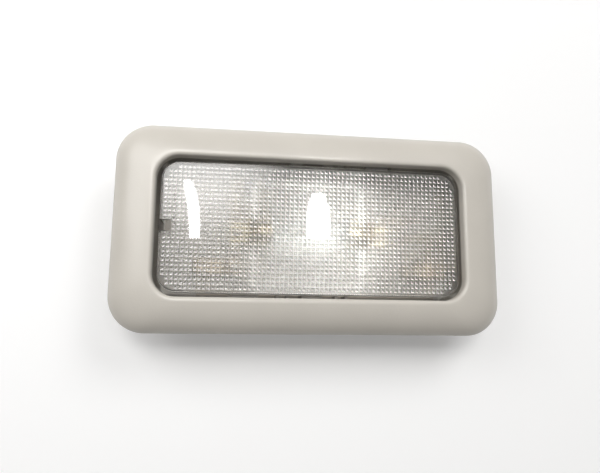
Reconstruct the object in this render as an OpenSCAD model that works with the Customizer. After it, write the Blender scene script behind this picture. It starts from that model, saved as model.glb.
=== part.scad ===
// Car interior roof lamp with a rocking lens.
// It lies on its back, face up. X runs along the lamp, Y across it, Z out of its face.
// The lens tips about two pins in the middle of its long sides and works two switch leaves.

/* [Bezel] */
// Overall length
bezel_l = 131; // [122:1:150]
// Overall width
bezel_w = 69; // [66:1:80]
// Corner radius of the outline
bezel_r = 12; // [9:0.5:18]
// Height of the lip above the seat on the roof lining
bezel_h = 7; // [5.5:0.5:11]
// Thickness of the moulded skin
bezel_skin = 2.2; // [1.8:0.1:2.6]
// Radius of the rolled lip round the window
lip_r = 1.5; // [0.9:0.1:1.7]
// Length of the collar behind the seat
collar_depth = 6; // [5:0.5:8]
// Thickness of the collar
collar_t = 1.8; // [1.4:0.1:2.2]

/* [Window] */
// Length of the window
window_l = 103.4; // [101:0.2:110]
// Width of the window
window_w = 45.8; // [45:0.2:49]
// Corner radius of the window
window_r = 7.5; // [6:0.5:9]

/* [Lens] */
// Gap between the lens and the window all round
lens_gap = 1.5; // [1.3:0.1:1.8]
// How far the middle of the lens lies below the lip
lens_drop = 1.2; // [0.8:0.1:1.6]
// Thickness of the lens in the middle
lens_t = 2.3; // [2:0.1:2.7]
// Rise of the middle of the face over its ends
lens_crown = 0.8; // [0.4:0.1:1.2]
// Thickness of the skirt
skirt_t = 1.1; // [0.9:0.1:1.3]
// Depth of the skirt below the plate
skirt_depth = 6.4; // [5:0.2:7]
// Side of one square prism
prism_pitch = 1.5; // [1.5:0.1:3]
// Height of one prism
prism_h = 0.5; // [0.3:0.05:0.7]
// Width of the notch for a prying tool
notch_w = 3.7; // [2.5:0.1:5]
// Length of the notch from the left end
notch_l = 1.9; // [1.5:0.1:2.5]

/* [Pivot] */
// Diameter of the pivot pins
pin_d = 3; // [2:0.1:4]
// Radial clearance of the pins in their bores
pin_fit = 0.075; // [0.05:0.005:0.1]
// Width of the pivot bosses
boss_w = 7; // [6:0.1:7.6]
// Degrees that the lens tips each way
rock_deg = 3; // [2:0.1:3.2]

/* [Lamp body] */
// Depth of the lamp behind the seat
body_depth = 18; // [17:0.5:22]
// Wall of the body
body_wall = 1.4; // [1.2:0.1:1.6]
// Height of the tray's underside above the back
tray_z = 8; // [7:0.25:9]
// Clearance between moulded pieces
fit = 0.3; // [0.2:0.05:0.4]
// Length of the well behind the bulb
well_l = 38.4; // [37:0.2:40]
// Width of the well
well_w = 36.4; // [34:0.2:36.8]

/* [Bulb] */
// Overall length of the bulb
bulb_l = 41; // [40:0.5:42]
// Diameter of the glass
bulb_d = 10.2; // [9:0.1:11]
// Diameter of the end caps
cap_d = 8.5; // [7:0.1:9]
// Length of one end cap
cap_l = 7; // [6:0.1:7.5]
// Height of the bulb's axis over the tray floor
bulb_lift = 3.1; // [2.9:0.1:3.6]
// Wall of the glass
glass_t = 0.6; // [0.4:0.05:0.8]

/* [Metal parts] */
// Thickness of the brass strips
strip_t = 0.6; // [0.5:0.05:0.8]
// Width of the strips along the ledges
strip_w = 2.4; // [2:0.1:2.6]
// Thickness of the spring leaves
leaf_t = 0.35; // [0.25:0.05:0.45]
// Width of the spring leaves
leaf_w = 5; // [4:0.1:5.5]
// Width of the contact blades in the socket
blade_w = 2.8; // [2.4:0.1:3.2]
// Distance between the contact blades
blade_pitch = 6; // [5.5:0.1:6.4]
// Distance of the switch contacts from the middle
switch_x = 36; // [35:0.25:37]
// Distance of the switch contacts from the centre line
switch_y = 12; // [11:0.25:13]
// Width of the detent springs
detent_w = 7.5; // [6:0.1:8]
// Distance of the detent springs from the middle
detent_x = 22.7; // [20:0.1:25]
// Thickness of the roof clip
clip_t = 0.8; // [0.6:0.05:1]
// Width of the roof clip
clip_w = 12; // [10:0.5:14]
// Thickness of the roof sheet that the hook and the clip hold
roof_t = 2; // [1.5:0.1:2.4]

/* [Hidden] */

// ramp behind the prying notch
ramp_l = 3.1;
ramp_h = 1;

// heights, from the back of the body up
seat_z = body_depth;
lip_z = seat_z + bezel_h;
floor_z = tray_z + body_wall;
lens_top = lip_z - lens_drop;
lens_under = lens_top - lens_t;
prism_step = 0.1;
skirt_z = lens_under - skirt_depth;
pivot_z = skirt_z + 2.2;
ledge_z = lip_z - 4.2;
wall_top = ledge_z - fit;
boss_top = wall_top - 0.2;
collar_z = seat_z - collar_depth;
strip_z = floor_z + strip_t;
bulb_z = floor_z + bulb_lift;

// plan sizes
corner_steps = 12;
lens_l = window_l - 2 * lens_gap;
lens_w = window_w - 2 * lens_gap;
lens_r = window_r - lens_gap;
tray_in = 0.1;
tray_l = window_l + 2 * tray_in;
tray_w = window_w + 2 * tray_in;
body_l = tray_l + 2 * body_wall;
body_w = tray_w + 2 * body_wall;
body_r = window_r + tray_in + body_wall;
collar_e = tray_in + body_wall + fit;
collar_out = collar_e + collar_t;
rim_in = 2.4;
rim_lift = 0.3;
snap_x = 36;
snap_w = 8.4;
snap_h = 2.6;
snap_z = collar_z + 2;
hook_w = 14;
hook_t = 1.8;
hook_reach = 4;
gusset_t = 1.2;
gusset_l = 3.2;
gusset_h = 2.2;

// socket at the right end of the back
blade_x = switch_x - 1.4;
blade_z = 1.2;
socket_x0 = blade_x - 3;
socket_l = 12;
blade_side = 2.9;
socket_w = 2 * blade_pitch + blade_w + 2 * blade_side;
socket_wall = 1.3;
latch_w = 5.2;
latch_z = 2.6;
latch_h = 2.2;
rib_t = 1.2;
rib_inset = 6;
rib_h = 2.4;
rib_step = 8;
crown_rib_step = 21;
crown_rib_y = 14;

// bulb and its two holders
cap_seat = 3.4;
glass_l = bulb_l - 2 * cap_seat;
neck_r = cap_d / 2 - 1.1;
holder_t = leaf_t + 0.15;
holder_w = 7;
holder_foot = 6.6;
holder_x = bulb_l / 2;
holder_rivet_x = holder_x + 4.6;
strip_x = holder_x + 0.9;

// switch
leaf_rise = 1.9;
leaf_heel = 1.7;
leaf_step = 2.4;
leaf_nose = 2.2;
leaf_lip = 1.2;
leaf_top = strip_z + leaf_rise;
finger_w = 2.4;
finger_l = 5;
rock_drop = (switch_x + finger_w / 2) * sin(rock_deg);
finger_gap = 0.25;
finger_z = leaf_top + rock_drop + finger_gap;
common_w = 3.5;
common_x = -holder_x - 3.3 - common_w / 2;
right_common_x = tray_l / 2 - 1.1 - common_w / 2;
ledge_y = tray_w / 2 - 0.5 - strip_w / 2;
door_reach = 8;
door_x = switch_x + door_reach;
guide_rib_near = 8.2;
guide_rib_far = 11.5;
guide_rib_x = [-guide_rib_far, -guide_rib_near, guide_rib_near, guide_rib_far];
barb_w = 4.4;
stud_d = 2.6;
stud_h = 0.45;
stud_shank = 1.2;
contact_pad = 2.4;
stake_pad = 1.6;
live_l = 7;

// stakes of the body that hold the strips down
live_stake_x = holder_x + holder_foot + 1.5;
ground_stake_x = switch_x + 4.6;
common_stake_in = 6;
common_stake_y = ledge_y - common_stake_in;
low_common_stake_y = -switch_y + 4.5;
door_stake_y = -ledge_y + 5.5;
contact_stake_y = -ledge_y + 3.4;

rivet_d = 1.6;
rivet_fit = 0.1;
rivet_head = 3;
rivet_h = 0.6;
clip_reach = 4.6;
clip_rivet_z = seat_z - 2.8;
clip_rivet_head = 2.4;
stake_d = 1.8;
stake_fit = 0.15;
over = 1;

// A flat rectangle with round corners, centred.
module rounded(l, w, r) {
    square([l - 2 * r, w], center = true);
    square([l, w - 2 * r], center = true);
    for (x = [-1, 1], y = [-1, 1])
        translate([x * (l / 2 - r), y * (w / 2 - r)])
            circle(r, $fn = 48);
}

module slab(l, w, r, z0, z1) {
    translate([0, 0, z0])
        linear_extrude(z1 - z0)
            rounded(l, w, r);
}

// A block between two corners.
module block(a, b) {
    translate(a)
        cube(b - a);
}

function mix(a, b, t) = a + (b - a) * t;

// One ring of points round the lamp: a rectangle with round corners.
function ring(l, w, r, z) = [
    for (q = [0 : 3], i = [0 : corner_steps])
        let (a = 90 * q + 90 * i / corner_steps)
        [
            (q == 0 || q == 3 ? 1 : -1) * (l / 2 - r) + r * cos(a),
            (q < 2 ? 1 : -1) * (w / 2 - r) + r * sin(a),
            z
        ]
];

// A ring that lies t of the way from an offset of the window to an inset of the outline.
function rail(e, inset, t, z) = ring(
    mix(window_l + 2 * e, bezel_l - 2 * inset, t),
    mix(window_w + 2 * e, bezel_w - 2 * inset, t),
    mix(window_r + e, bezel_r - inset, t),
    z
);

// A closed band through rings, the last joined to the first.
module band(rings) {
    n = len(rings[0]);
    m = len(rings);
    polyhedron(
        points = [for (r = rings) each r],
        faces = [
            for (k = [0 : m - 1], i = [0 : n - 1])
                let (
                    j = (i + 1) % n,
                    k2 = (k + 1) % m,
                    a = k * n + i,
                    b = k * n + j,
                    c = k2 * n + j,
                    d = k2 * n + i
                )
                each [[a, c, b], [a, d, c]]
        ]
    );
}

// The crown of the bezel: steep at the outline, nearly level at the lip.
crown_from = 14;
crown_to = 80;
crown_steps = 9;
crown_foot = 0.9;
function crown_out(a) = (cos(a) - cos(crown_to)) / (cos(crown_from) - cos(crown_to));
function crown_up(a) = (sin(a) - sin(crown_from)) / (sin(crown_to) - sin(crown_from));
function crown(e, inset, z0, z1, steps) = [
    for (i = [0 : steps])
        let (a = mix(crown_from, crown_to, i / steps))
        rail(e, inset, crown_out(a), mix(z0, z1, crown_up(a)))
];

under_steps = 5;
under_z = seat_z + crown_foot + 0.6;

module bezel_shell() {
    outer = crown(lip_r, 0, seat_z + crown_foot, lip_z, crown_steps);
    lip = [
        for (i = [1 : 4])
            let (a = 90 + 90 * i / 4)
            rail(lip_r * (1 + cos(a)), 0, 0, lip_z - lip_r * (1 - sin(a)))
    ];
    inside = [
        rail(0, 0, 0, ledge_z),
        rail(collar_e, 0, 0, ledge_z),
        rail(collar_e, 0, 0, collar_z),
        rail(collar_out, 0, 0, collar_z)
    ];
    under = crown(collar_out, rim_in, under_z, lip_z - bezel_skin, under_steps);
    foot = [rail(0, rim_in, 1, seat_z + rim_lift), rail(0, 0.3, 1, seat_z + rim_lift),
        rail(0, 0, 1, seat_z + rim_lift + 0.3)];
    back = [for (i = [len(under) - 1 : -1 : 0]) under[i]];
    band(concat(outer, lip, inside, back, foot));
}

// A web under the crown, from the collar to the rim, across the side whose window edge and outline
// lie at these distances. It stands in the XZ plane.
module crown_rib(edge, outline) {
    root = 0.5;
    rotate([90, 0, 0])
        linear_extrude(rib_t, center = true)
            polygon([
                [edge + collar_out - root, under_z],
                [edge + collar_out - root, lip_z - bezel_skin + root],
                for (i = [under_steps : -1 : 0])
                    let (a = mix(crown_from, crown_to, i / under_steps))
                    [
                        mix(edge + collar_out, outline - rim_in, crown_out(a)),
                        mix(under_z, lip_z - bezel_skin, crown_up(a)) + root
                    ],
                [outline - rim_in, under_z]
            ]);
}

// The trim frame: crowned skin with webs under it, rolled lip, collar with snap windows, and the
// fixed roof hook.
module bezel() {
    hook_x = window_l / 2 + collar_out;
    hook_top = seat_z - roof_t - fit;
    color("#d6d1c8")
    difference() {
        union() {
            bezel_shell();
            translate([0, 0, seat_z])
                linear_extrude(rim_lift + 0.8)
                    difference() {
                        rounded(bezel_l - 1.2, bezel_w - 1.2, bezel_r - 0.6);
                        rounded(bezel_l - 2 * rim_in + 0.6, bezel_w - 2 * rim_in + 0.6,
                            bezel_r - rim_in + 0.3);
                    }
            for (s = [-1, 1]) {
                for (x = [-2 : 2])
                    translate([x * crown_rib_step, 0, 0])
                        rotate([0, 0, s * 90])
                            crown_rib(window_w / 2, bezel_w / 2);
                for (y = [-crown_rib_y, crown_rib_y])
                    translate([0, y, 0])
                        rotate([0, 0, s > 0 ? 0 : 180])
                            crown_rib(window_l / 2, bezel_l / 2);
            }
            // the hook at the left end and its two gussets
            block([-hook_x - hook_reach, -hook_w / 2, hook_top - hook_t],
                [-hook_x + 0.5, hook_w / 2, hook_top]);
            for (y = [-hook_w / 2 + gusset_t, hook_w / 2])
                translate([-hook_x, y, hook_top - hook_t / 2])
                    rotate([90, 0, 0])
                        linear_extrude(gusset_t)
                            polygon([[0.5, 0], [-gusset_l, 0], [0.5, -gusset_h]]);
        }
        for (x = [-snap_x, snap_x], s = [-1, 1])
            translate([x, s * (window_w / 2 + collar_e + collar_t / 2), snap_z + snap_h / 2])
                cube([snap_w + 2 * fit, collar_t + 2 * over, snap_h + 2 * fit], center = true);
        for (y = [-clip_w / 4, clip_w / 4])
            translate([hook_x + over, y, clip_rivet_z])
                rotate([0, -90, 0])
                    cylinder(d = rivet_d + rivet_fit, h = collar_t + 2 * over, $fn = 24);
    }
}

// One wedge that snaps into a window of the collar.
module snap_lug() {
    reach = fit + collar_t - 0.4;
    translate([-snap_w / 2, 0, 0])
        rotate([90, 0, 90])
            linear_extrude(snap_w)
                polygon([[-0.3, 0], [0.4, 0], [reach, snap_h - 0.8], [reach, snap_h], [-0.3, snap_h]]);
}

// One rib from a long wall towards the lens, of width w.
module wall_rib(x, w, z0) {
    block([x - w / 2, lens_w / 2 + fit, z0], [x + w / 2, tray_w / 2 + 0.3, boss_top]);
}

module blade_slot(y) {
    block([blade_x - strip_t / 2 - 0.2, y - blade_w / 2 - 0.2, tray_z - over],
        [blade_x + strip_t / 2 + 0.2, y + blade_w / 2 + 0.2, floor_z + over]);
}

// One stiffening rib on the back, between two points, from z up to the tray.
module back_rib(a, b, z) {
    side = a[0] == b[0] ? [rib_t / 2, 0] : [0, rib_t / 2];
    block([each a - side, z], [each b + side, tray_z + 0.5]);
}

live_stakes = [[live_stake_x, blade_pitch]];
ground_stakes = [[ground_stake_x, -blade_pitch]];
common_stakes = [[common_x, common_stake_y], [common_x, low_common_stake_y], [right_common_x, blade_pitch]];
door_stakes = [[door_x, door_stake_y], [-switch_x, contact_stake_y]];

// The moulded body: shallow tray, well behind the bulb, socket, bosses, ribs and snap lugs.
module lamp_body() {
    well_out_l = well_l + 2 * body_wall;
    well_out_w = well_w + 2 * body_wall;
    socket_out = socket_w + 2 * socket_wall;
    color("#b9b6b0")
    difference() {
        union() {
            slab(body_l, body_w, body_r, tray_z, wall_top);
            slab(well_out_l, well_out_w, 3, 0, tray_z + 0.5);
            block([socket_x0 - socket_wall, -socket_out / 2, 0],
                [socket_x0 + socket_l + socket_wall, socket_out / 2, tray_z + 0.5]);
            for (s = [-1, 1], x = [-snap_x, snap_x])
                translate([x, s * body_w / 2, snap_z])
                    rotate([0, 0, s > 0 ? 0 : 180])
                        snap_lug();
            // stiffening ribs under the tray, and two between the well and the socket
            for (i = [-1, 0, 1])
                back_rib([-switch_x + i * rib_step, -body_w / 2 + rib_inset],
                    [-switch_x + i * rib_step, body_w / 2 - rib_inset], tray_z - rib_h);
            back_rib([-switch_x - rib_step - 2, 0], [-well_out_l / 2 + 0.5, 0], tray_z - rib_h);
            for (y = [-rib_step, rib_step])
                back_rib([well_out_l / 2 - 0.5, y], [socket_x0, y], 2.5);
        }
        // inside of the tray, with the bosses and ribs left standing
        difference() {
            slab(tray_l, tray_w, window_r + tray_in, floor_z, wall_top + over);
            for (s = [0, 1])
                mirror([0, s, 0]) {
                    wall_rib(0, boss_w, strip_z + 1.2);
                    for (x = guide_rib_x)
                        wall_rib(x, 0.8, floor_z + 4);
                }
            for (s = [-1, 1], x = [-1, 1])
                long_side(s)
                    wall_rib(s * detent_x + x * (detent_w / 2 + fit + 0.5), 0.8, strip_z + 1.6);
            for (p = concat(live_stakes, ground_stakes, common_stakes, door_stakes))
                translate([p[0], p[1], floor_z - 0.5])
                    cylinder(d = stake_d, h = strip_t + 0.5 + 0.7, $fn = 24);
        }
        slab(well_l, well_w, 1.6, body_wall, floor_z + over);
        block([socket_x0, -socket_w / 2, -over], [socket_x0 + socket_l, socket_w / 2, tray_z]);
        // latch window and pivot bores
        block([socket_x0 + socket_l - over, -latch_w / 2, latch_z],
            [socket_x0 + socket_l + socket_wall + over, latch_w / 2, latch_z + latch_h]);
        for (y = [-1, 0, 1])
            blade_slot(y * blade_pitch);
        for (s = [-1, 1])
            translate([0, s * (lens_w / 2 - over), pivot_z])
                rotate([-s * 90, 0, 0])
                    cylinder(d = pin_d + 2 * pin_fit, h = (body_w - lens_w) / 2 + 2 * over, $fn = 48);
        // windows for the barbs of the detent springs
        for (s = [-1, 1])
            long_side(s)
                block([s * detent_x - barb_w / 2, tray_w / 2 - over, skirt_z - 0.4],
                    [s * detent_x + barb_w / 2, body_w / 2 + over, skirt_z + 1.4]);
    }
}

// Places its children as they are for s = 1, and mirrored to the lower long side for s = -1.
module long_side(s) {
    mirror([0, s < 0 ? 1 : 0, 0])
        children();
}

// Square prisms on the inner face: one closed sheet whose lower side is a field of pyramids.
module prism_sheet(nx, ny, z_top) {
    z_base = lens_under - prism_step;
    px = nx * prism_pitch / 2;
    py = ny * prism_pitch / 2;
    row = nx + 1;
    grid = [for (j = [0 : ny], i = [0 : nx]) [i * prism_pitch - px, j * prism_pitch - py, z_base]];
    tips = [
        for (j = [0 : ny - 1], i = [0 : nx - 1])
            [(i + 0.5) * prism_pitch - px, (j + 0.5) * prism_pitch - py, z_base - prism_h]
    ];
    lid = [[-px, -py, z_top], [px, -py, z_top], [px, py, z_top], [-px, py, z_top]];
    t0 = len(grid);
    l0 = t0 + len(tips);
    polyhedron(
        points = concat(grid, tips, lid),
        faces = concat(
            [
                for (j = [0 : ny - 1], i = [0 : nx - 1])
                    let (a = j * row + i, b = a + 1, c = b + row, d = a + row, t = t0 + j * nx + i)
                    each [[a, b, t], [b, c, t], [c, d, t], [d, a, t]]
            ],
            [
                [l0, l0 + 3, l0 + 2, l0 + 1],
                [l0, l0 + 1, for (i = [nx : -1 : 0]) i],
                [l0 + 1, l0 + 2, for (j = [ny : -1 : 0]) j * row + nx],
                [l0 + 2, l0 + 3, for (i = [0 : nx]) ny * row + i],
                [l0 + 3, l0, for (j = [0 : ny]) j * row]
            ]
        )
    );
}

// The lens: crowned plate, skirt, pivot pins, switch fingers, and the prying notch with its ramp.
module lens() {
    crown_parts = 24;
    reach = lens_l / 2 + over;
    function crown_at(x) = lens_top - lens_crown * pow(2 * x / lens_l, 2);
    skirt_in_l = lens_l - 2 * skirt_t;
    skirt_in_w = lens_w - 2 * skirt_t;
    nx = floor((skirt_in_l - 0.4) / prism_pitch);
    ny = floor((skirt_in_w - 0.1) / prism_pitch);
    color("#e4e4e2", 0.6)
    difference() {
        union() {
            difference() {
                intersection() {
                    slab(lens_l, lens_w, lens_r, skirt_z, lens_top + over);
                    translate([0, lens_w, 0])
                        rotate([90, 0, 0])
                            linear_extrude(2 * lens_w)
                                polygon([
                                    [-reach, 0],
                                    [reach, 0],
                                    for (i = [crown_parts : -2 : -crown_parts])
                                        let (x = reach * i / crown_parts)
                                        [x, crown_at(x)]
                                ]);
                }
                slab(skirt_in_l, skirt_in_w, lens_r - skirt_t, skirt_z - over, lens_under);
            }
            intersection() {
                prism_sheet(nx, ny, lens_under + 0.4);
                slab(skirt_in_l - 0.2, skirt_in_w - 0.02, lens_r - skirt_t - 0.1, 0, lens_top);
            }
            for (s = [-1, 1])
                translate([0, s * (lens_w / 2 - skirt_t / 2), pivot_z])
                    rotate([-s * 90, 0, 0])
                        cylinder(d = pin_d, h = skirt_t / 2 + lens_gap + 0.7, $fn = 48);
            for (x = [-switch_x, switch_x])
                block([x - finger_w / 2, -switch_y - finger_l / 2, finger_z],
                    [x + finger_w / 2, -switch_y + finger_l / 2, lens_under + 0.4]);
        }
        // notch through plate and skirt, and the ramp that leads the tool into it
        translate([-lens_l / 2, notch_w / 2, 0])
            rotate([90, 0, 0])
                linear_extrude(notch_w)
                    polygon([
                        [-over, skirt_z - over], [notch_l, skirt_z - over],
                        [notch_l, crown_at(-lens_l / 2 + notch_l) - ramp_h],
                        [notch_l + ramp_l, crown_at(-lens_l / 2 + notch_l + ramp_l)],
                        [notch_l + ramp_l, lens_top + over], [-over, lens_top + over]
                    ]);
    }
}

// Bright trough behind the bulb, with end walls notched for the caps and a flange on the tray.
module reflector() {
    trough_t = 1;
    flange_l = bulb_l - 2 * fit;
    flange_w = well_w + 2.6;
    half = well_w / 2 - 1.3;
    sag = floor_z + trough_t - (body_wall + 0.2 + trough_t);
    arc_r = (half * half + sag * sag) / (2 * sag);
    arc_z = floor_z + trough_t - sag + arc_r;
    in_l = well_l - 2 * trough_t - 0.6;
    color("#e9e9e7")
    difference() {
        union() {
            slab(flange_l, flange_w, 2.4, floor_z, floor_z + trough_t);
            intersection() {
                translate([-in_l / 2 - trough_t, 0, arc_z])
                    rotate([0, 90, 0])
                        cylinder(r = arc_r + trough_t, h = in_l + 2 * trough_t, $fn = 180);
                block([-well_l, -well_w / 2 + 0.2, 0], [well_l, well_w / 2 - 0.2, floor_z + trough_t / 2]);
            }
        }
        translate([-in_l / 2, 0, arc_z])
            rotate([0, 90, 0])
                cylinder(r = arc_r, h = in_l, $fn = 180);
        translate([-flange_l, 0, bulb_z])
            rotate([0, 90, 0])
                cylinder(d = cap_d + 1.2, h = 2 * flange_l, $fn = 60);
    }
}

// Turns its 2D child, drawn with the bulb's axis along X and radius along Y, about that axis.
module on_bulb_axis() {
    translate([0, 0, bulb_z])
        rotate([0, 90, 0])
            rotate_extrude($fn = 72)
                rotate([0, 0, 90])
                    children();
}

// Glass tube with rounded shoulders and open necks inside the caps.
module bulb_glass() {
    shoulder = 2;
    body_half = bulb_l / 2 - cap_l - 0.6;
    function half_outline(r, n, x1) = concat(
        [for (i = [0 : 6]) let (a = 15 * i)
            [body_half - shoulder * (1 - sin(a)), r - (r - n) * (1 - cos(a))]],
        [[x1, n]]
    );
    outer = half_outline(bulb_d / 2, neck_r, glass_l / 2);
    inner = half_outline(bulb_d / 2 - glass_t, neck_r - glass_t, glass_l / 2);
    color("#f4f6f6", 0.4)
    on_bulb_axis()
        polygon(concat(
            [for (p = outer) p],
            [for (i = [len(inner) - 1 : -1 : 0]) inner[i]],
            [for (p = inner) [-p[0], p[1]]],
            [for (i = [len(outer) - 1 : -1 : 0]) [-outer[i][0], outer[i][1]]]
        ));
}

// One end cap: a turned cup with a coned end and a small tip.
module bulb_cap(s) {
    x1 = bulb_l / 2;
    x0 = x1 - cap_l;
    r = cap_d / 2;
    t = 0.5;
    color("#c9b27a")
    mirror([s < 0 ? 1 : 0, 0, 0])
        on_bulb_axis()
            polygon([
                [x0, neck_r + 0.05], [x0, r], [x1 - 3, r], [x1 - 2.6, r - 0.4], [x1 - 0.9, 1.6],
                [x1 - 0.3, 1.4], [x1, 0.8], [x1, 0], [x1 - 2, 0], [x1 - 3, neck_r - 0.8],
                [x1 - cap_seat, neck_r - 0.8], [x1 - cap_seat, neck_r + 0.05]
            ]);
}

// Filament coil on the axis with its two lead wires to the caps.
module bulb_filament() {
    coil_l = 9;
    lead_d = 0.5;
    color("#8d8a86")
    translate([0, 0, bulb_z])
        rotate([0, 90, 0])
            union() {
                cylinder(d = 1, h = coil_l, center = true, $fn = 32);
                cylinder(d = lead_d, h = bulb_l - 4.4, center = true, $fn = 24);
            }
}

// One bulb holder: a strip bent into a foot, an upright with a hole for the cap's tip, and a lip
// that leans out so that the bulb snaps in from above.
module bulb_holder(s) {
    t = holder_t;
    h = bulb_z + cap_d / 2 + 0.2 - strip_z;
    bend = 0.4;
    color("#cfae6a")
    mirror([s < 0 ? 1 : 0, 0, 0])
        difference() {
            translate([holder_x, holder_w / 2, strip_z])
                rotate([90, 0, 0])
                    linear_extrude(holder_w)
                        polygon([
                            [bend, 0], [holder_foot, 0], [holder_foot, t], [t + bend, t], [t, t + bend],
                            [t, h], [t + 0.8, h + 1.8], [0.9, h + 2], [0, h], [0, bend]
                        ]);
            translate([holder_x - over, 0, bulb_z])
                rotate([0, 90, 0])
                    cylinder(d = 3.1, h = t + 2 * over, $fn = 36);
            translate([holder_rivet_x, 0, strip_z - over])
                cylinder(d = rivet_d + rivet_fit, h = t + 2 * over, $fn = 24);
        }
}

// A flat strip on the tray floor: bars between corners, with holes for stakes and rivets.
module strip(bars, holes, rivets) {
    difference() {
        union() {
            intersection() {
                for (b = bars)
                    block([b[0], b[1], floor_z], [b[2], b[3], strip_z]);
                slab(tray_l - 1, tray_w - 1, window_r - 0.4, 0, seat_z);
            }
            children();
        }
        for (p = holes)
            translate([p[0], p[1], floor_z - over])
                cylinder(d = stake_d + 2 * stake_fit, h = strip_t + 2 * over, $fn = 24);
        for (p = rivets)
            translate([p[0], p[1], floor_z - over])
                cylinder(d = rivet_d + rivet_fit, h = strip_t + 2 * over, $fn = 24);
    }
}

// A contact blade bent down from the strips through the floor into the socket.
module blade(y) {
    block([blade_x - strip_t / 2, y - blade_w / 2, blade_z],
        [blade_x + strip_t / 2, y + blade_w / 2, strip_z]);
    translate([blade_x, y, blade_z])
        block([-strip_t / 4, -blade_w / 2 + 0.4, -0.7], [strip_t / 4, blade_w / 2 - 0.4, 0.1]);
}

module live_strip() {
    x0 = strip_x;
    x1 = x0 + live_l - blade_w;
    y = blade_pitch;
    color("#c8a25a")
    strip([
        [x0, -holder_w / 2, x0 + live_l, holder_w / 2],
        [x1, -holder_w / 2, x0 + live_l, y + blade_w / 2],
        [x1, y - blade_w / 2 - 0.5, live_stake_x + stake_pad, y + blade_w / 2 + 0.5],
        [x1, y - blade_w / 2, blade_x + strip_t / 2, y + blade_w / 2]
    ], live_stakes, [[holder_rivet_x, 0]])
        blade(y);
}

module common_strip() {
    x0 = common_x - common_w / 2;
    x1 = right_common_x + common_w / 2;
    y1 = ledge_y + strip_w / 2;
    color("#c8a25a")
    strip([
        [x0, -switch_y - leaf_w / 2, x0 + common_w, y1],
        [x0, -holder_w / 2, -strip_x, holder_w / 2],
        [x0, y1 - strip_w, x1, y1],
        [x1 - common_w, -switch_y - leaf_w / 2, x1, y1]
    ], common_stakes, [[-holder_rivet_x, 0], [common_x, -switch_y], [right_common_x, -switch_y]]);
}

module ground_strip() {
    x0 = blade_x - strip_t / 2;
    color("#c8a25a")
    strip([
        [x0, -switch_y - contact_pad, switch_x + contact_pad, -blade_pitch + blade_w / 2],
        [x0, -blade_pitch - stake_pad, ground_stake_x + stake_pad, -blade_pitch + stake_pad]
    ], ground_stakes, [])
        blade(-blade_pitch);
}

module door_strip() {
    y0 = -ledge_y - strip_w / 2;
    color("#c8a25a")
    strip([
        [blade_x - strip_t / 2, -blade_w / 2, door_x + stake_pad, blade_w / 2],
        [door_x - stake_pad, y0, door_x + stake_pad, blade_w / 2],
        [-switch_x - contact_pad, y0, door_x + stake_pad, y0 + strip_w],
        [-switch_x - contact_pad, y0, -switch_x + contact_pad, -switch_y + contact_pad]
    ], door_stakes, [])
        blade(0);
}

// A switch leaf riveted to the common strip at x0, stepped up and reaching over a contact at x1.
module leaf(x0, x1) {
    d = x1 > x0 ? 1 : -1;
    span = abs(x1 - x0);
    flat = leaf_heel + 0.3;
    nose = span + leaf_nose;
    h = leaf_top - strip_z;
    lip_h = h + leaf_lip / 3;
    t = leaf_t;
    color("#b87c4c")
    difference() {
        translate([x0, -switch_y + leaf_w / 2, strip_z])
            mirror([d < 0 ? 1 : 0, 0, 0])
                rotate([90, 0, 0])
                    linear_extrude(leaf_w)
                        polygon([
                            [-leaf_heel, 0], [flat, 0], [flat + leaf_step, h - t], [nose, h - t],
                            [nose + leaf_lip, lip_h], [nose + leaf_lip - 0.2, lip_h + t],
                            [nose - 0.2, h], [flat + leaf_step - 0.2, h], [flat - 0.2, t], [-leaf_heel, t]
                        ]);
        translate([x0, -switch_y, strip_z - over])
            cylinder(d = rivet_d + rivet_fit, h = t + 2 * over, $fn = 24);
        translate([x1, -switch_y, leaf_top - t - over])
            cylinder(d = stud_shank + rivet_fit, h = t + 2 * over, $fn = 24);
    }
}

// Contact studs: two on the strips and two headed through the leaves.
module contact_studs() {
    color("#d9d9d6")
    for (x = [-switch_x, switch_x])
        translate([x, -switch_y, 0]) {
            translate([0, 0, strip_z])
                cylinder(d = stud_d, h = stud_h, $fn = 32);
            translate([0, 0, leaf_top - leaf_t - stud_h])
                cylinder(d = stud_d, h = stud_h, $fn = 32);
            translate([0, 0, leaf_top - leaf_t - stud_h / 2])
                cylinder(d = stud_shank, h = leaf_t + stud_h / 2, $fn = 24);
        }
}

// One rivet from the floor up through a strip and a spring of thickness t.
module rivet(x, y, t) {
    translate([x, y, floor_z]) {
        cylinder(d = rivet_d, h = strip_t + t + 0.1, $fn = 24);
        translate([0, 0, strip_t + t])
            intersection() {
                cylinder(d = rivet_head, h = rivet_h, $fn = 32);
                translate([0, 0, rivet_h - 2.2])
                    sphere(r = 2.2, $fn = 48);
            }
    }
}

module rivets() {
    color("#a9a9a6") {
        for (x = [-holder_rivet_x, holder_rivet_x])
            rivet(x, 0, holder_t);
        for (x = [common_x, right_common_x])
            rivet(x, -switch_y, leaf_t);
    }
}

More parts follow.
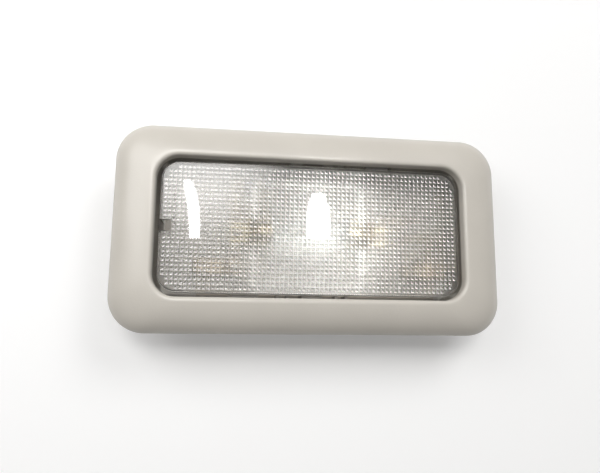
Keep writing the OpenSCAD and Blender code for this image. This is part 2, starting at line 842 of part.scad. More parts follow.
// Detent spring: a hairpin over the wall side of the gap whose inner leg bears on the skirt.
module detent_spring(s) {
    t = 0.35;
    y_out = tray_w / 2 - 0.05;
    y_in = lens_w / 2 + fit;
    z0 = skirt_z - 0.2;
    z1 = boss_top - 0.1;
    mid = skirt_z + 3;
    color("#d2d4d6")
    long_side(s)
        translate([s * detent_x, 0, 0])
            difference() {
                translate([-detent_w / 2, 0, 0])
                    rotate([90, 0, 90])
                        linear_extrude(detent_w)
                            polygon([
                                [y_out, z0], [y_out, z1], [y_in + 0.1, z1], [y_in + 0.1, mid + 1.4],
                                [y_in, mid + 0.5], [y_in, mid - 0.5], [y_in + 0.3, mid - 1.8],
                                [y_in + 0.3 + t, mid - 1.8], [y_in + t, mid - 0.4],
                                [y_in + t, mid + 0.5], [y_in + t + 0.1, mid + 1.4], [y_in + t + 0.1, z1 - t],
                                [y_out - t, z1 - t], [y_out - t, z0]
                            ]);
                for (x = [-1, 1])
                    block([x * detent_w / 2 - 1.2, y_in - over, z0 - over],
                        [x * detent_w / 2 + 1.2, y_out - t - 0.02, mid + 1]);
            }
}

// Roof clip: spring steel on the collar's right end that bends out to grip the roof sheet.
module roof_clip() {
    x0 = window_l / 2 + collar_out;
    x1 = x0 + clip_reach;
    z0 = collar_z + 0.6;
    z1 = seat_z - 1.2;
    t = clip_t;
    catch_z = seat_z - roof_t - fit;
    color("#b4b7ba")
    difference() {
        translate([0, clip_w / 2, 0])
            rotate([90, 0, 0])
                linear_extrude(clip_w)
                    polygon([
                        [x0, z0 + 0.6], [x0 + 0.3, z0], [x0 + t + 0.5, z0], [x1 - 0.2, catch_z - 1.6],
                        [x1, catch_z - 1], [x1 - 1.4, catch_z], [x1 - 2, catch_z - 0.5],
                        [x1 - 1, catch_z - 1.4], [x0 + t + 0.2, z0 + 1], [x0 + t, z0 + 1.4],
                        [x0 + t, z1], [x0, z1]
                    ]);
        for (y = [-clip_w / 4, clip_w / 4])
            translate([x0 - over, y, clip_rivet_z])
                rotate([0, 90, 0])
                    cylinder(d = rivet_d + rivet_fit, h = t + 2 * over, $fn = 24);
    }
}

module clip_rivets() {
    x0 = window_l / 2 + collar_e;
    color("#a9a9a6")
    for (y = [-clip_w / 4, clip_w / 4])
        translate([x0 + 0.1, y, clip_rivet_z])
            rotate([0, 90, 0]) {
                cylinder(d = rivet_d, h = collar_t + clip_t, $fn = 24);
                translate([0, 0, collar_t + clip_t - 0.1])
                    cylinder(d = clip_rivet_head, h = 0.5, $fn = 32);
            }
}

bezel();
lamp_body();
lens();
reflector();
bulb_glass();
bulb_cap(-1);  // bulb_cap_left
bulb_cap(1);  // bulb_cap_right
bulb_filament();
bulb_holder(-1);  // bulb_holder_left
bulb_holder(1);  // bulb_holder_right
live_strip();
common_strip();
ground_strip();
door_strip();
leaf(right_common_x, switch_x);  // on_leaf
leaf(common_x, -switch_x);  // door_leaf
contact_studs();
rivets();
detent_spring(1);  // detent_spring_top
detent_spring(-1);  // detent_spring_bottom
roof_clip();
clip_rivets();
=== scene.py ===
import math

import bmesh
import bpy
from mathutils import Matrix, Vector


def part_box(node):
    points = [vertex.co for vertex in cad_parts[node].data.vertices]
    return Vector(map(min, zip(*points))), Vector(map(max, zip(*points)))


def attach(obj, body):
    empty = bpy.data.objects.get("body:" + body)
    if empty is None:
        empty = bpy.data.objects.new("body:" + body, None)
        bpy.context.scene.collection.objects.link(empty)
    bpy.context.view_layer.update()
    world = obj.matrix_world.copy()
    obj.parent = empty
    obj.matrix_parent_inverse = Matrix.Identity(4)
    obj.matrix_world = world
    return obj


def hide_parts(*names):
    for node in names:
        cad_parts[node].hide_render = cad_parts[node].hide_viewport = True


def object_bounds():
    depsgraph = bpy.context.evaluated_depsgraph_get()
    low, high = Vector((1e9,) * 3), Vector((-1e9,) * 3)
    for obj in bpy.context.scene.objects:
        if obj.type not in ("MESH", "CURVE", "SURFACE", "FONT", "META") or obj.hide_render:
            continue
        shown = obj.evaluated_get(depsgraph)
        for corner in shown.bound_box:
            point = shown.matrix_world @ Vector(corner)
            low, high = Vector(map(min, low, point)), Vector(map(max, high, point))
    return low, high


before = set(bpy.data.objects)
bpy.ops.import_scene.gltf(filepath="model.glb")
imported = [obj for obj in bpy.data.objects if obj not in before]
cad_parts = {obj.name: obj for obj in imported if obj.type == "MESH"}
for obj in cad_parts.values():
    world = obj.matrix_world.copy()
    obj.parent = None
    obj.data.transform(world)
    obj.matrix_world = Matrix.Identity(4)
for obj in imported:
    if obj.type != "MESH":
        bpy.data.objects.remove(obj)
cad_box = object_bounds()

# Bezel: the trim frame that shows from inside the car. One injection moulding in beige plastic with
# a fine matt grain. Its crown is steep at the outline and nearly level at the rolled lip. Webs under
# it stiffen the collar, which snaps over the lamp body, and a hook at the left end holds the roof sheet.
MM = 0.001
bezel_low, bezel_high = (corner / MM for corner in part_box("bezel"))
bezel_length, bezel_width, bezel_radius = 2 * bezel_high.x, 2 * bezel_high.y, 12
collar_bottom, lip_top = bezel_low.z, bezel_high.z
seat = lip_top - 7
window_length, window_width, window_radius = 103.4, 45.8, 7.5
lip_radius, lip_squareness, lip_steps = 1.5, 0.7, 9
crown_foot, crown_steps = 0.9, 26
crown_from, crown_to = math.radians(14), math.radians(80)
skin, foot_skin, under_steps = 2.2, 0.6, 12
body_clearance, body_wall, tray_clearance = 0.3, 1.4, 0.1
collar_thickness = 1.8
collar_inside = tray_clearance + body_wall + body_clearance
collar_outside = collar_inside + collar_thickness
ledge = lip_top - 4.2
rim_width, rim_lift = 2.4, 0.3
bead_inside, bead_outside = rim_width - 0.3, 0.6
rim_bevel, rim_bevel_height = 0.25, 0.3
under_foot, under_top = seat + crown_foot + foot_skin, lip_top - skin


def mix(a, b, t):
    return a + (b - a) * t


def ring(length, width, radius, z, steps=20):
    """Points round a rectangle with round corners, in millimetres."""
    points = []
    for quarter in range(4):
        cx = (1 if quarter in (0, 3) else -1) * (length / 2 - radius)
        cy = (1 if quarter < 2 else -1) * (width / 2 - radius)
        for i in range(steps + 1):
            angle = math.pi / 2 * (quarter + i / steps)
            points.append(Vector((cx + radius * math.cos(angle), cy + radius * math.sin(angle), z)))
    return points


def rail(offset, inset, t, z):
    """A ring that lies t of the way from an offset of the window to an inset of the outline."""
    return ring(
        mix(window_length + 2 * offset, bezel_length - 2 * inset, t),
        mix(window_width + 2 * offset, bezel_width - 2 * inset, t),
        mix(window_radius + offset, bezel_radius - inset, t),
        z,
    )


def crown_arc(steps):
    """Points of the crown's section from the outline to the lip: how far out and how high, 0 to 1."""
    points = []
    for i in range(steps + 1):
        angle = mix(crown_from, crown_to, i / steps)
        out = (math.cos(angle) - math.cos(crown_to)) / (math.cos(crown_from) - math.cos(crown_to))
        up = (math.sin(angle) - math.sin(crown_from)) / (math.sin(crown_to) - math.sin(crown_from))
        points.append((out, up))
    return points


def crown(offset, inset, low, high, steps):
    """Rings of the crown, from the outline at a low height to the lip at a high one."""
    return [rail(offset, inset, out, mix(low, high, up)) for out, up in crown_arc(steps)]


def skin_rings(form, rings, closed=False):
    """Adds faces between neighbouring rings of a bmesh, and returns the vertices ring by ring."""
    rows = [[form.verts.new(point * MM) for point in points] for points in rings]
    pairs = list(zip(rows, rows[1:])) + ([(rows[-1], rows[0])] if closed else [])
    for a, b in pairs:
        for i in range(len(a)):
            j = (i + 1) % len(a)
            form.faces.new((a[i], a[j], b[j], b[i]))
    return rows


def soften(made, crease):
    """Shades an object smooth between the edges that are sharper than a crease in degrees."""
    made.data.polygons.foreach_set("use_smooth", [True] * len(made.data.polygons))
    made.data.set_sharp_from_angle(angle=math.radians(crease))


def piece(name, form, crease=35):
    """Turns a bmesh into an object."""
    bmesh.ops.recalc_face_normals(form, faces=form.faces[:])
    mesh = bpy.data.meshes.new(name)
    form.to_mesh(mesh)
    form.free()
    made = bpy.data.objects.new(name, mesh)
    bpy.context.scene.collection.objects.link(made)
    soften(made, crease)
    return made


def add_block(form, low, high):
    """Adds a closed box between two corners given in millimetres."""
    low, high = Vector(low) * MM, Vector(high) * MM
    corners = [
        form.verts.new((x, y, z))
        for z in (low.z, high.z) for y in (low.y, high.y) for x in (low.x, high.x)
    ]
    for face in ((0, 2, 3, 1), (4, 5, 7, 6), (0, 1, 5, 4), (2, 6, 7, 3), (0, 4, 6, 2), (1, 3, 7, 5)):
        form.faces.new([corners[i] for i in face])


def add_prism(form, outline, start, along):
    """Adds a closed extrusion of an outline, whose points are vectors in millimetres."""
    near = [form.verts.new((Vector(point) + Vector(start)) * MM) for point in outline]
    far = [form.verts.new((Vector(point) + Vector(start) + Vector(along)) * MM) for point in outline]
    form.faces.new(near)
    form.faces.new(far[::-1])
    for i in range(len(near)):
        j = (i + 1) % len(near)
        form.faces.new((near[j], near[i], far[i], far[j]))


def circle(radius, steps, axis):
    """Points of a circle in millimetres, square to the axis x or y."""
    points = []
    for i in range(steps):
        a, b = (radius * f(2 * math.pi * i / steps) for f in (math.cos, math.sin))
        points.append({"x": (0, a, b), "y": (a, 0, b)}[axis])
    return points


def combine(made, tool, how, crease=35):
    """Joins a bmesh to an object (UNION) or cuts it from the object (DIFFERENCE)."""
    helper = piece("tool", tool)
    step = made.modifiers.new(how.lower(), "BOOLEAN")
    step.operation = how
    step.solver = "EXACT"
    step.use_self = how == "UNION"
    step.object = helper
    bpy.context.view_layer.update()
    result = bpy.data.meshes.new_from_object(made.evaluated_get(bpy.context.evaluated_depsgraph_get()))
    made.modifiers.clear()
    made.data = result
    bpy.data.objects.remove(helper)
    soften(made, crease)


lip = []
for i in range(1, lip_steps + 1):
    angle = math.pi / 2 * i / lip_steps
    inward, down = (lip_radius * (1 - max(f(angle), 0) ** lip_squareness) for f in (math.sin, math.cos))
    lip.append(rail(inward, 0, 0, lip_top - down))
collar = [
    rail(0, 0, 0, ledge),
    rail(collar_inside, 0, 0, ledge),
    rail(collar_inside, 0, 0, collar_bottom),
    rail(collar_outside, 0, 0, collar_bottom),
]
rim = [
    rail(0, rim_width, 1, seat + rim_lift),
    rail(0, bead_inside, 1, seat + rim_lift),
    rail(0, bead_inside, 1, seat),
    rail(0, bead_outside, 1, seat),
    rail(0, bead_outside, 1, seat + rim_lift),
    rail(0, rim_bevel, 1, seat + rim_lift),
    rail(0, 0, 1, seat + rim_lift + rim_bevel_height),
]
top = crown(lip_radius, 0, seat + crown_foot, lip_top, crown_steps)
underside = crown(collar_outside, rim_width, under_foot, under_top, under_steps)[::-1]
bezel_form = bmesh.new()
skin_rings(bezel_form, top + lip + collar + underside + rim, closed=True)
bezel = piece("trim_frame", bezel_form)

roof_thickness = 2
collar_end = window_length / 2 + collar_outside
hook_width, hook_reach, hook_thickness, hook_root = 14, 4, 1.8, 0.5
hook_top = seat - roof_thickness - body_clearance
gusset, gusset_reach, gusset_depth = 1.2, 3.2, 2.2
added = bmesh.new()
add_block(added, (-collar_end - hook_reach, -hook_width / 2, hook_top - hook_thickness),
          (-collar_end + hook_root, hook_width / 2, hook_top))
for y in (-hook_width / 2, hook_width / 2 - gusset):
    add_prism(added, ((hook_root, 0, 0), (-gusset_reach, 0, 0), (hook_root, 0, -gusset_depth)),
              (-collar_end, y, hook_top - hook_thickness / 2), (0, gusset, 0))

web_step, web_y, web_thickness, web_root = 21, 14, 1.2, 0.5


def web_outline(edge, outline):
    """Distance from the middle and height of the web between the collar and the rim of one side."""
    root = edge + collar_outside
    curve = [
        (mix(root, outline - rim_width, out), mix(under_foot, under_top, up) + web_root)
        for out, up in crown_arc(under_steps)[::-1]
    ]
    return [(root - web_root, under_foot), (root - web_root, under_top + web_root), *curve,
            (outline - rim_width, under_foot)]


for side in (-1, 1):
    for i in range(-2, 3):
        add_prism(added, [(0, side * y, z) for y, z in web_outline(window_width / 2, bezel_width / 2)],
                  (i * web_step - web_thickness / 2, 0, 0), (web_thickness, 0, 0))
    for y in (-web_y, web_y):
        add_prism(added, [(side * x, 0, z) for x, z in web_outline(window_length / 2, bezel_length / 2)],
                  (0, y - web_thickness / 2, 0), (0, web_thickness, 0))
combine(bezel, added, "UNION")

snap_x, snap_width, snap_bottom, snap_height = 36, 8.4, collar_bottom + 2, 2.6
rivet_y, rivet_height, rivet_hole_radius = 3, seat - 2.8, 0.85
past = 1
snap_half, cut_half = snap_width / 2 + body_clearance, collar_thickness / 2 + past
collar_middle = window_width / 2 + collar_inside + collar_thickness / 2
removed = bmesh.new()
for x in (-snap_x, snap_x):
    for y in (-collar_middle, collar_middle):
        add_block(removed, (x - snap_half, y - cut_half, snap_bottom - body_clearance),
                  (x + snap_half, y + cut_half, snap_bottom + snap_height + body_clearance))
for y in (-rivet_y, rivet_y):
    add_prism(removed, circle(rivet_hole_radius, 24, "x"),
              (collar_end - collar_thickness - past, y, rivet_height), (collar_thickness + 2 * past, 0, 0))
combine(bezel, removed, "DIFFERENCE")
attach(bezel, "housing")
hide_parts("bezel")


class Wire:
    """One output of a node. Arithmetic on it adds Math nodes to the same finish."""

    def __init__(self, finish, socket):
        self.finish, self.socket = finish, socket

    def __add__(self, other):
        return self.finish.maths("ADD", self, other)

    def __sub__(self, other):
        return self.finish.maths("SUBTRACT", self, other)

    def __rsub__(self, other):
        return self.finish.maths("SUBTRACT", other, self)

    def __mul__(self, other):
        return self.finish.maths("MULTIPLY", self, other)

    __radd__, __rmul__ = __add__, __mul__


class Finish:
    """A material, or the room round the part, built from nodes."""

    def __init__(self, name, library=bpy.data.materials):
        self.owner = library.new(name)
        self.owner.use_nodes = True
        self.tree = self.owner.node_tree
        self.tree.nodes.clear()

    def node(self, kind, settings=None, values=None, out=0):
        """Adds a node: its settings first, then the values or wires of its sockets."""
        made = self.tree.nodes.new("ShaderNode" + kind)
        for key, value in (settings or {}).items():
            setattr(made, key, value)
        for key, value in (values or {}).items():
            if isinstance(value, Wire):
                self.tree.links.new(value.socket, made.inputs[key])
            else:
                made.inputs[key].default_value = value
        return Wire(self, made.outputs[out])

    def maths(self, how, *values):
        return self.node("Math", {"operation": how}, dict(enumerate(values)))

    def place(self):
        """The point on the object in metres."""
        return self.node("TexCoord", out="Object")

    def along(self, axis):
        """How far the point lies along the axis X, Y or Z, in metres."""
        return self.node("SeparateXYZ", values={0: self.place()}, out=axis)

    def noise(self, scale, detail=3, stretch=(1, 1, 1)):
        """Noise whose features measure about 1 / scale metres, and more where stretch is under 1."""
        place = self.node("Mapping", values={"Vector": self.place(), "Scale": stretch})
        return self.node("TexNoise", values={"Vector": place, "Scale": scale, "Detail": detail})

    def colours(self, factor, a, b):
        """Goes from colour a to colour b, each a triple or a wire, as the factor goes from 0 to 1."""
        a, b = (colour if isinstance(colour, Wire) else (*colour, 1) for colour in (a, b))
        return self.node("Mix", {"data_type": "RGBA"}, {0: factor, 6: a, 7: b}, 2)

    def step(self, value, low, high, a=0, b=1):
        """Goes smoothly from a to b while the value goes from low to high."""
        return self.node("MapRange", {"interpolation_type": "SMOOTHSTEP"},
                         {0: value, 1: low, 2: high, 3: a, 4: b})

    def beyond(self, length, width):
        """How far in metres the point lies outside a rectangle given in millimetres."""
        return self.maths("MAXIMUM", *(
            self.maths("ABSOLUTE", self.along(axis)) - side / 2 * MM
            for axis, side in (("X", length), ("Y", width))
        ))

    def bump(self, height, distance):
        return self.node("Bump", values={"Height": height, "Distance": distance})

    def surface(self, shader):
        """Ends the tree with a shader, and returns the finished material or room."""
        kind = "World" if isinstance(self.owner, bpy.types.World) else "Material"
        end = self.tree.nodes.new("ShaderNodeOutput" + kind)
        self.tree.links.new(shader.socket, end.inputs["Surface"])
        return self.owner


def tint(colour, factor):
    return tuple(channel * factor for channel in colour)


bezel_colour, bezel_roughness, bezel_coat = (0.66, 0.625, 0.565), 0.36, 0.45
# A dark brown for painted shade in the deep gaps round the lens and in its notch.
painted_shade_colour = (0.17, 0.155, 0.135)
wall_shade_full, wall_shade_none, wall_shade_top = 0.4, 0.8, lip_top - 3


def window_painted_shade(finish):
    """Painted shade low on the window's wall, under the roll of the lip."""
    outside = finish.beyond(window_length, window_width)
    on_wall = finish.step(outside, wall_shade_full * MM, wall_shade_none * MM, 1, 0)
    return on_wall * finish.step(finish.along("Z"), ledge * MM, wall_shade_top * MM, 1, 0)


def moulded(name, colour, roughness, grain=0.00003, grain_size=0.0005, mottle=0.06, painted_shade=None, coat=0):
    """Moulded plastic: a slightly uneven tone, and a fine grain from the tool's surface. Painted shade is
    a function that gives its amount from 0 to 1. A coat stands for the polish that handling leaves."""
    finish = Finish(name)
    clouds = finish.noise(55, 4)
    grains = finish.noise(1 / grain_size, 2)
    tone = finish.colours(clouds, tint(colour, 1 - mottle), tint(colour, 1 + mottle))
    if painted_shade:
        tone = finish.colours(painted_shade(finish), tone, painted_shade_colour)
    return finish.surface(finish.node("BsdfPrincipled", values={
        "Base Color": tone,
        "Roughness": roughness + 0.12 * (clouds - 0.5),
        "Coat Weight": coat,
        "Coat Roughness": 0.2,
        "Normal": finish.bump(grains, grain),
    }))


# The bezel's colour carries painted shade low on the window's wall, deep under the lip.
bezel.data.materials.append(
    moulded("bezel_plastic", bezel_colour, bezel_roughness, painted_shade=window_painted_shade, coat=bezel_coat))

# Lens: clear moulding that is smooth outside and has square prisms inside. It has two pivot pins on
# its skirt, two fingers under its plate that work the switch, and a notch with a ramp for a prying tool.
lens_low, lens_high = (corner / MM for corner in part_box("lens"))
lens_length = 2 * lens_high.x
lens_gap = (window_length - lens_length) / 2
lens_width, lens_radius = window_width - 2 * lens_gap, window_radius - lens_gap
lens_top, lens_bottom = lens_high.z, lens_low.z
lens_crown, lens_crease = 0.8, 20
skirt, foot_bevel = 0.62, 0.15
edge_radius, edge_steps, face_margin = 0.45, 5, 0.4
prism_base = lens_top - 2.4
prism_pitch, prism_height, prism_foot, prism_flat = 1.475, 0.42, 0.57, 0.12
field_margin = 0.05
prisms_x, prisms_y = (
    math.floor((side - 2 * skirt - 2 * field_margin) / prism_pitch) for side in (lens_length, lens_width)
)


def crown_drop(x):
    """How far the lens's face lies under its top at a distance from the middle, in millimetres."""
    return lens_crown * (2 * x / lens_length) ** 2


def lens_ring(inset, z):
    """A ring that lies an inset inside the lens's outline, in millimetres."""
    return ring(lens_length - 2 * inset, lens_width - 2 * inset, lens_radius - inset, z, 10)


lens_rings = [lens_ring(edge_radius + face_margin, lens_top)]
for i in range(edge_steps + 1):
    angle = math.pi / 2 * (1 - i / edge_steps)
    inward, down = (edge_radius * (1 - f(angle)) for f in (math.cos, math.sin))
    lens_rings.append(lens_ring(inward, lens_top - down))
lens_rings += [
    lens_ring(0, lens_bottom + foot_bevel),
    lens_ring(foot_bevel, lens_bottom),
    lens_ring(skirt, lens_bottom),
]
lens_form = bmesh.new()
rows = skin_rings(lens_form, lens_rings)
lens_form.faces.new(rows[0])
slice_step = 2
slices = int(lens_length / 2 / slice_step)
for i in range(-slices, slices + 1):
    whole = lens_form.verts[:] + lens_form.edges[:] + lens_form.faces[:]
    place = (i * slice_step * MM, 0, 0)
    bmesh.ops.bisect_plane(lens_form, geom=whole, plane_co=place, plane_no=(1, 0, 0))
for vertex in lens_form.verts:
    if vertex.co.z > (lens_top - 1) * MM:
        vertex.co.z -= crown_drop(vertex.co.x / MM) * MM

prism_points = {}


def prism_point(x, y, z):
    """A vertex of the prism field. Neighbouring prisms share those on their common border."""
    key = (round(x / prism_pitch * 1000), round(y / prism_pitch * 1000))
    if key not in prism_points:
        prism_points[key] = lens_form.verts.new(Vector((x, y, z)) * MM)
    return prism_points[key]


def in_corner(x, y):
    """True where a prism's corner would cut into the round corner of the skirt."""
    radius = lens_radius - skirt
    dx = abs(x) - (lens_length / 2 - skirt - radius)
    dy = abs(y) - (lens_width / 2 - skirt - radius)
    return dx > 0 and dy > 0 and math.hypot(dx, dy) > radius - field_margin


def square(x, y, reach):
    """Corners of a square round a point. Its sides are twice the reach."""
    return [(x + dx * reach, y + dy * reach) for dx, dy in ((-1, -1), (1, -1), (1, 1), (-1, 1))]


for i in range(prisms_x):
    for j in range(prisms_y):
        x, y = ((k + 0.5 - count / 2) * prism_pitch for k, count in ((i, prisms_x), (j, prisms_y)))
        if any(in_corner(*corner) for corner in square(x, y, prism_pitch / 2)):
            continue
        levels = [
            [prism_point(*corner, z) for corner in square(x, y, reach)]
            for reach, z in (
                (prism_pitch / 2, prism_base),
                (prism_foot, prism_base),
                (prism_flat, prism_base - prism_height),
            )
        ]
        for base, tip in zip(levels, levels[1:]):
            for k in range(4):
                after = (k + 1) % 4
                lens_form.faces.new((base[k], base[after], tip[after], tip[k]))
        lens_form.faces.new(levels[-1])

open_edges = [edge for edge in lens_form.edges if len(edge.link_faces) == 1]
skirt_middle = (lens_bottom + prism_base) / 2 * MM
field_edges = [edge for edge in open_edges if edge.verts[0].co.z > skirt_middle]
skirt_edges = [edge for edge in open_edges if edge.verts[0].co.z < skirt_middle]
wall = bmesh.ops.extrude_edge_only(lens_form, edges=skirt_edges)["geom"]
for part in wall:
    if isinstance(part, bmesh.types.BMVert):
        part.co.z = prism_base * MM
wall_top = [part for part in wall if isinstance(part, bmesh.types.BMEdge) and len(part.link_faces) == 1]
bmesh.ops.triangle_fill(lens_form, edges=wall_top + field_edges, use_beauty=True)
lens = piece("prism_lens", lens_form, lens_crease)

pin_radius, pin_height = 1.5, lens_bottom + 2.2
pin_root = lens_width / 2 - skirt / 2
pins = bmesh.new()
for side in (-1, 1):
    add_prism(pins, circle(pin_radius, 40, "y"), (0, side * pin_root, pin_height),
              (0, side * (lens_high.y - pin_root), 0))
combine(lens, pins, "UNION", lens_crease)

notch_width, notch_length, ramp_length, ramp_height = 3.7, 1.9, 3.1, 1
notch_end = -(lens_length / 2 - notch_length)
ramp_end = notch_end + ramp_length
notch_outline = (
    (-lens_length / 2 - past, lens_bottom - past),
    (notch_end, lens_bottom - past),
    (notch_end, lens_top - crown_drop(notch_end) - ramp_height),
    (ramp_end, lens_top - crown_drop(ramp_end)),
    (ramp_end, lens_top + past),
    (-lens_length / 2 - past, lens_top + past),
)
notch = bmesh.new()
add_prism(notch, [(x, 0, z) for x, z in notch_outline], (0, -notch_width / 2, 0), (0, notch_width, 0))
combine(lens, notch, "DIFFERENCE", lens_crease)

finger_x, finger_y, finger_width, finger_length = 36, -12, 2.4, 5
finger_bottom, finger_top = 14.13, prism_base - prism_height - 0.02
fingered = bmesh.new()
fingered.from_mesh(lens.data)
for x in (-finger_x, finger_x):
    add_block(fingered, (x - finger_width / 2, finger_y - finger_length / 2, finger_bottom),
              (x + finger_width / 2, finger_y + finger_length / 2, finger_top))
fingered.to_mesh(lens.data)
fingered.free()
soften(lens, lens_crease)
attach(lens, "rocker")
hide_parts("lens")


def clear(name, colour, bend, shadow, frosted_below=None, frost=0, painted_shade_span=None):
    """Clear plastic or glass that bends light, and whose shadow lets a share of it through. Faces
    below a height are frosted. Painted shade darkens it up to the first of two places along X, and
    fades to little from the second. Heights and places are in metres."""
    finish = Finish(name)
    clouds = finish.noise(120, 2)
    roughness = 0.01 * clouds
    if frosted_below:
        roughness = roughness + frost * finish.maths("LESS_THAN", finish.along("Z"), frosted_below)
    body = finish.node("BsdfPrincipled", values={
        "Base Color": finish.colours(clouds, tint(colour, 0.99), colour),
        "Roughness": roughness,
        "IOR": bend,
        "Transmission Weight": 1,
    })
    if painted_shade_span:
        painted_shade_layer = finish.node("BsdfPrincipled", values={
            "Base Color": finish.colours(clouds, painted_shade_colour, tint(painted_shade_colour, 1.5)),
            "Roughness": 0.6,
        })
        amount = finish.step(finish.along("X"), *painted_shade_span, 0.95, 0.1)
        body = finish.node("MixShader", values={0: amount, 1: body, 2: painted_shade_layer})
    through = finish.node("BsdfTransparent", values={"Color": (*tint(colour, shadow), 1)})
    in_shadow = finish.node("LightPath", out="Is Shadow Ray")
    return finish.surface(finish.node("MixShader", values={0: in_shadow, 1: body, 2: through}))


lens_colour, lens_bend, lens_frost = (0.985, 0.975, 0.96), 1.49, 0.34
frosted_below = (prism_base + 0.05) * MM
# Painted shade in the notch, darkest at its deep end and fading up the ramp.
painted_shade_span = ((notch_end + 1) * MM, ramp_end * MM)
plate_finish, skirt_finish, notch_finish = range(3)
lens.data.materials.append(clear("lens_clear", lens_colour, lens_bend, 0.5, frosted_below, lens_frost))
lens.data.materials.append(clear("lens_skirt", lens_colour, lens_bend, 0.08, frosted_below, lens_frost))
lens.data.materials.append(clear("lens_notch", lens_colour, lens_bend, 0.3, painted_shade_span=painted_shade_span))
notch_side, plate_inside, under_prisms = notch_width / 2 + 0.02, prism_base + 0.2, finger_top - 0.08
for face in lens.data.polygons:
    centre = face.center / MM
    in_notch = centre.x < ramp_end and abs(centre.y) < notch_side
    upright = max(abs(face.normal.x), abs(face.normal.y)) > 0.9
    lowest = min(lens.data.vertices[i].co.z for i in face.vertices) / MM
    if in_notch and (centre.z > plate_inside or upright):
        face.material_index = notch_finish
    elif lowest < under_prisms:
        face.material_index = skirt_finish
    else:
        face.material_index = plate_finish

# Lamp body: the moulded tray behind the lens, with the well for the reflector, the plug socket and
# the bosses that carry the lens's pins. Plain light grey plastic, with painted shade in the gap round the
# lens.
body_colour, body_roughness = (0.53, 0.515, 0.485), 0.5
gap_shade_reach, gap_shade_amount = 0.4 * MM, 0.85


def gap_painted_shade(finish):
    """Painted shade in the gap round the lens."""
    outside = finish.beyond(lens_length, lens_width)
    return finish.step(outside, -gap_shade_reach, gap_shade_reach, 0, gap_shade_amount)


def dress(material, *nodes):
    """Gives CAD nodes their finish."""
    for node in nodes:
        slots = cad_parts[node].data.materials
        slots.clear()
        slots.append(material)


# The body's colour carries painted shade where it shows in the gap round the lens.
dress(moulded("body_plastic", body_colour, body_roughness, 0.00002, 0.0007, 0.04, gap_painted_shade), "lamp_body")

# Reflector: a shallow trough that drops into the body's well behind the bulb. A plastic moulding
# with a bright satin coating, which shows the faint waviness of the moulding under it.
reflector_colour = (0.9, 0.895, 0.88)
coating = Finish("reflector_bright")
waves = coating.noise(160, 2)
dress(coating.surface(coating.node("BsdfPrincipled", values={
    "Base Color": coating.colours(waves, tint(reflector_colour, 0.96), reflector_colour),
    "Metallic": 0.5,
    "Roughness": 0.3 + 0.08 * waves,
    "Normal": coating.bump(waves, 0.0002),
})), "reflector")

# Bulb: a festoon bulb of clear drawn glass, with a pressed brass cap at each end that the holders
# grip, and a dark wire coil on its axis.
glass_colour, cap_colour, filament_colour = (0.97, 0.98, 0.98), (0.76, 0.68, 0.52), (0.25, 0.24, 0.23)


def metal(name, colour, roughness, grain=(1, 1, 1), painted_shade=None):
    """Sheet or drawn metal, with rolling marks along one axis and a little tarnish. Painted shade is a
    function that gives its amount from 0 to 1, and makes the metal dark and matt there."""
    finish = Finish(name)
    marks = finish.noise(2500, 2, grain)
    stain = finish.noise(150, 4)
    tone, metallic = finish.colours(stain, tint(colour, 0.88), colour), 1
    roughness = roughness + 0.15 * (marks - 0.5) + 0.1 * stain
    if painted_shade:
        amount = painted_shade(finish)
        tone, metallic = finish.colours(amount, tone, painted_shade_colour), 1 - amount
        roughness = roughness + 0.4 * amount
    return finish.surface(finish.node("BsdfPrincipled", values={
        "Base Color": tone,
        "Metallic": metallic,
        "Roughness": roughness,
        "Normal": finish.bump(marks, 0.00001),
    }))


lengthwise, upwards = (0.1, 1, 1), (1, 0.1, 0.1)
dress(clear("bulb_glass", glass_colour, 1.5, 0.92), "bulb_glass")
dress(metal("cap_metal", cap_colour, 0.3, lengthwise), "bulb_cap_left", "bulb_cap_right")
dress(metal("filament_metal", filament_colour, 0.5), "bulb_filament")

# Holders and strips: two spring brass blades grip the caps, and stamped brass strips on the tray
# floor join them to the switch leaves and to the three blades in the socket. The strips are tinned.
holder_colour, strip_colour = (0.74, 0.66, 0.50), (0.48, 0.44, 0.38)
dress(metal("spring_brass", holder_colour, 0.28, upwards), "bulb_holder_left", "bulb_holder_right")
# The strips' colour carries painted shade where they lie under the gap round the lens.
dress(metal("strip_brass", strip_colour, 0.42, lengthwise, gap_painted_shade),
      "live_strip", "common_strip", "ground_strip", "door_strip")

# Switch: two bronze spring leaves that the lens's fingers press down. Bright contact studs are
# riveted through the leaves and strips, and plated rivets hold leaves, holders and clip.
leaf_colour, stud_colour, rivet_colour = (0.61, 0.52, 0.41), (0.84, 0.83, 0.80), (0.62, 0.61, 0.59)
dress(metal("leaf_bronze", leaf_colour, 0.34, lengthwise), "on_leaf", "door_leaf")
dress(metal("stud_metal", stud_colour, 0.22), "contact_studs")
dress(metal("rivet_steel", rivet_colour, 0.34), "rivets", "clip_rivets")

# Springs: two hairpins in the gaps beside the lens hold it in its three positions, and a clip on the
# collar's right end grips the roof sheet. All are plated spring steel, with painted shade on the lower
# hairpin.
spring_colour = (0.72, 0.72, 0.72)
dress(metal("spring_steel", spring_colour, 0.25, lengthwise), "detent_spring_top", "roof_clip")
# The lower hairpin's colour carries painted shade, as it lies deep in the gap.
dress(metal("spring_steel_painted_shade", spring_colour, 0.25, lengthwise, gap_painted_shade), "detent_spring_bottom")

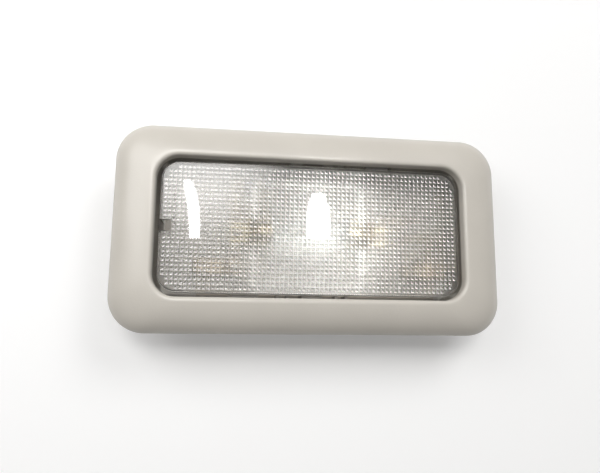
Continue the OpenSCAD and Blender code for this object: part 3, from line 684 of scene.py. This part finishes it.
# Camera: over the face, a little to the left and below, as in the photograph. Its place, lean and
# focal length were solved from the outline.
camera_spot = Vector((-27.9, -31.3, 200.5)) * MM
camera_target = Vector((-4.17, -2.02, 20)) * MM
camera_lean = math.radians(0.559)
focal_pixels, image_width = 549.1, 600
camera = bpy.data.objects.new("camera", bpy.data.cameras.new("camera"))
camera.data.sensor_width = 36
camera.data.lens = camera.data.sensor_width * focal_pixels / image_width
camera.data.clip_start = 0.01
bpy.context.scene.collection.objects.link(camera)
bpy.context.scene.camera = camera
forward = (camera_target - camera_spot).normalized()
right = forward.cross(Vector((-math.sin(camera_lean), math.cos(camera_lean), 0))).normalized()
camera.matrix_world = Matrix((right, right.cross(forward), -forward)).transposed().to_4x4()
camera.location = camera_spot

# Studio: a soft lamp at the left, a larger one at the upper right and a room with one brighter patch
# overhead light the part. A narrow beam makes the reflector glow behind the lens, and two bright cards
# above the camera give the mirror images on the lens. The floor is pale and keeps the part's shadow.
part_middle = (0, 0, 0.02)


def lamp(name, kind, spot, target, power):
    """A lamp at a spot in metres, aimed at a target."""
    made = bpy.data.objects.new(name, bpy.data.lights.new(name, kind))
    made.data.energy = power
    made.location = spot
    made.rotation_euler = (Vector(target) - Vector(spot)).to_track_quat("-Z", "Y").to_euler()
    bpy.context.scene.collection.objects.link(made)
    return made


left_lamp = lamp("left_lamp", "AREA", (-0.22, 0.12, 0.25), part_middle, 0.43)
left_lamp.data.size = 0.2
right_lamp = lamp("right_lamp", "AREA", (0.3, 0.4, 0.52), part_middle, 1.7)
right_lamp.data.size = 0.3
right_lamp.visible_glossy = False
beam = lamp("beam", "SPOT", (0.17, 0.2, 1), (0.002, -0.0072, 0.008), 95)
beam.data.spot_size, beam.data.spot_blend = math.radians(1.8), 0.9
beam.data.shadow_soft_size = 0.02

card_height, card_light = 1, (30, 30, 30)


def card(name, outline):
    """A bright card over the part, whose reflection lies on the lens. The outline is in metres."""
    form = bmesh.new()
    form.faces.new([form.verts.new((x, y, 0)) for x, y in outline])
    made = piece(name, form)
    made.location.z = card_height
    finish = Finish(name)
    uneven = finish.colours(finish.noise(12, 2), tint(card_light, 0.9), card_light)
    made.data.materials.append(finish.surface(finish.node("Emission", values={"Color": uneven})))


card("left_card", (
    (-0.181, 0.270), (-0.170, 0.274), (-0.158, 0.268), (-0.146, 0.245), (-0.138, 0.212), (-0.1346, 0.180),
    (-0.134, 0.147), (-0.160, 0.146), (-0.163, 0.179), (-0.169, 0.218), (-0.177, 0.250),
))
card("middle_card", (
    (0.149, 0.251), (0.164, 0.255), (0.181, 0.253), (0.192, 0.226), (0.197, 0.193),
    (0.197, 0.154), (0.136, 0.154), (0.133, 0.187), (0.137, 0.220), (0.143, 0.240),
))

room = Finish("room", bpy.data.worlds)
room_colour = (1, 0.985, 0.965, 1)
patch = Vector((-0.11, 0.355, 0.93)).normalized()
patch_from, patch_to = 0.975, 1
direction = room.node("TexCoord", out="Generated")
nearness = room.node("VectorMath", {"operation": "DOT_PRODUCT"}, {0: direction, 1: patch}, "Value")
lit, through = (
    room.node("Background", values={
        "Color": room_colour,
        "Strength": room.step(nearness, patch_from, patch_to, plain_level, patch_level),
    })
    for plain_level, patch_level in ((0.15, 10.8), (0.3, 0.6))
)
bent_ray = room.node("LightPath", out="Is Transmission Ray")
camera_ray = room.node("LightPath", out="Is Camera Ray")
unseen = room.node("MixShader", values={0: bent_ray, 1: lit, 2: through})
seen = room.node("Background", values={"Strength": 1})
bpy.context.scene.world = room.surface(room.node("MixShader", values={0: camera_ray, 1: unseen, 2: seen}))

floor_form = bmesh.new()
bmesh.ops.create_circle(floor_form, cap_ends=True, segments=96, radius=3)
floor = piece("floor", floor_form)
floor.location.z = cad_box[0][2] - 0.05 * MM
paper = Finish("floor_paper")
matt = paper.node("BsdfPrincipled", values={
    "Base Color": paper.colours(paper.noise(8), (0.84, 0.84, 0.84), (0.86, 0.86, 0.86)),
    "Roughness": 0.9,
})
glow = paper.node("Emission", values={"Strength": 0.22})
bright = paper.node("AddShader", values={0: matt, 1: glow})
to_camera = paper.node("LightPath", out="Is Camera Ray")
either = paper.node("MixShader", values={0: to_camera, 1: matt, 2: bright})
floor.data.materials.append(paper.surface(either))

bpy.context.scene.view_settings.view_transform = "Standard"
